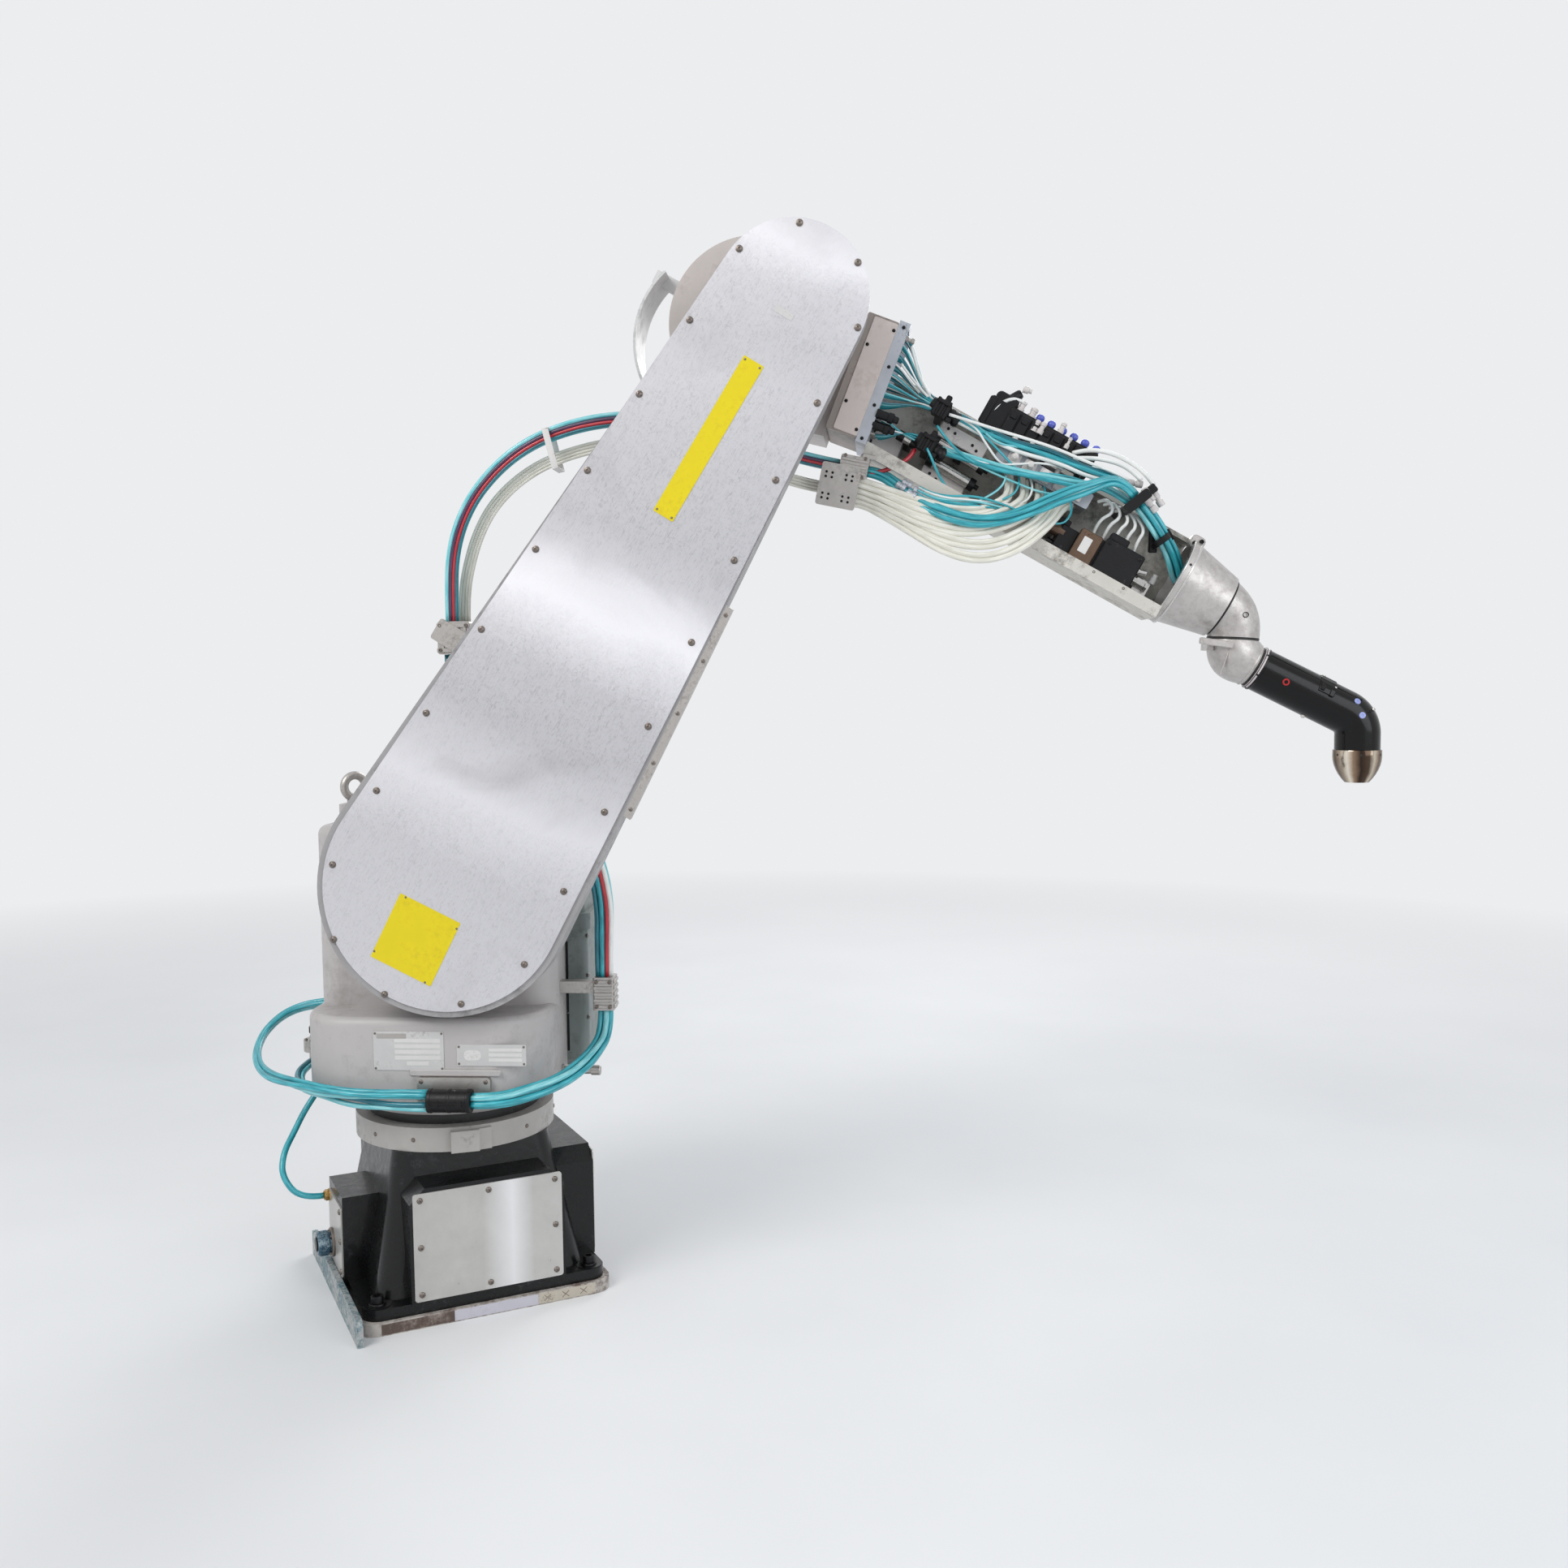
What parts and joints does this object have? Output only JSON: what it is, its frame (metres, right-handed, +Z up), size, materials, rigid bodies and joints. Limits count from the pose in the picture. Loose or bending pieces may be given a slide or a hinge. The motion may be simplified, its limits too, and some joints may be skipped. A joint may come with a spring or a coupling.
{
  "type": "painting robot",
  "caption": "Six-axis painting robot with a swivelling turret, long flat inner arm, hose-dressed forearm and hollow three-roll wrist with a bent applicator",
  "frame": {"origin": "on the turret's swivel axis, on the underside of the foot's base plate", "axes": "+Z up along the swivel axis, +X to the right along the plane of the arm, +Y away from the side that the inner arm hangs on"},
  "size_m": [2.3403, 0.722, 2.1156],
  "materials": {
    "bare_aluminium": "satin",
    "black_gloss": "gloss",
    "black_paint": "gloss",
    "black_plastic": "satin",
    "black_steel": "satin",
    "blue_plastic": "gloss",
    "brass": "satin",
    "bright_steel": "satin",
    "brushed_aluminium": "brushed",
    "cream_hose": "satin",
    "cream_paint": "satin",
    "grey_paint": "satin",
    "nickel": "polished",
    "ring_grey": "satin",
    "teal_hose": "gloss",
    "white_paint": "satin",
    "white_plastic": "gloss",
    "worn_steel": "worn satin",
    "wrist_paint": "satin"
  },
  "bodies": {
    "foot": {"base_plate": "worn_steel", "locating_bar": "black_paint", "base_casting": "black_paint", "base_front_cover": "brushed_aluminium", "base_side_covers": "brushed_aluminium", "foot_bolts": "black_steel", "stop_ring": "ring_grey", "swivel_bearing": "black_plastic", "base_connector": "bright_steel", "base_gland": "brass", "base_hose_lower": "teal_hose"},
    "turret": {"turret_column": "white_paint", "shoulder_hub": "grey_paint", "turret_drive": "grey_paint", "lifting_eye": "bright_steel", "regulator": "black_plastic", "turret_hose_clamp": "bare_aluminium", "sleeve_bracket": "bare_aluminium", "hose_sleeve": "black_plastic", "base_hose_upper": "teal_hose", "turret_hoses_right": "teal_hose", "turret_hose_loop": "teal_hose", "regulator_hose": "teal_hose", "shoulder_hoses_turret": "teal_hose"},
    "inner_arm": {"arm_housing": "grey_paint", "arm_cover": "brushed_aluminium", "arm_edge_strip": "bare_aluminium", "arm_hose_clamp": "bare_aluminium", "shoulder_hoses_arm": "teal_hose", "elbow_hoses_arm": "teal_hose", "elbow_ribbon_arm": "cream_hose"},
    "forearm": {"elbow_housing": "cream_paint", "elbow_drum": "cream_paint", "elbow_guard": "white_paint", "valve_box": "cream_paint", "bulkhead_plate": "bare_aluminium", "forearm_beam": "white_paint", "manifold": "black_plastic", "manifold_knobs": "blue_plastic", "valve_block": "black_plastic", "fitting_row": "bare_aluminium", "forearm_hose_clamp": "bare_aluminium", "clamp_plate": "bare_aluminium", "tube_clamps": "black_plastic", "fan_tubes": "teal_hose", "hose_straps": "black_plastic", "wrist_housing": "wrist_paint", "elbow_hoses_forearm": "teal_hose", "elbow_ribbon_forearm": "cream_hose", "cream_hoses": "cream_hose", "teal_hoses_lower": "teal_hose", "teal_hoses_upper": "teal_hose", "wrist_hoses": "teal_hose"},
    "wrist_1": {"wrist_elbow_1": "wrist_paint"},
    "wrist_2": {"wrist_elbow_2": "wrist_paint"},
    "applicator": {"tool_ring": "white_plastic", "applicator_body": "black_gloss", "applicator_cup": "nickel"}
  },
  "joints": [
    {"name": "base_swivel", "type": "hinge", "parent": "foot", "child": "turret", "pos_m": [0, 0, 0.392], "axis": [0, 0, 1], "range_deg": [-130, 190]},
    {"name": "shoulder", "type": "hinge", "parent": "turret", "child": "inner_arm", "pos_m": [0.062, 0, 0.857], "axis": [0, 1, 0], "range_deg": [-92, 58]},
    {"name": "elbow", "type": "hinge", "parent": "inner_arm", "child": "forearm", "pos_m": [0.74897, 0, 1.96066], "axis": [0, -1, 0], "range_deg": [-55, 88]},
    {"name": "wrist_roll_1", "type": "hinge", "parent": "forearm", "child": "wrist_1", "pos_m": [1.59167, 0, 1.38926], "axis": [0.866, 0, -0.5], "range_deg": [-540, 540]},
    {"name": "wrist_roll_2", "type": "hinge", "parent": "wrist_1", "child": "wrist_2", "pos_m": [1.61456, 0, 1.32951], "axis": [-0.0576, 0, -0.9983], "range_deg": [-540, 540]},
    {"name": "wrist_roll_3", "type": "hinge", "parent": "wrist_2", "child": "applicator", "pos_m": [1.65731, 0, 1.26996], "axis": [0.866, 0, -0.5], "range_deg": [-540, 540]}
  ]
}
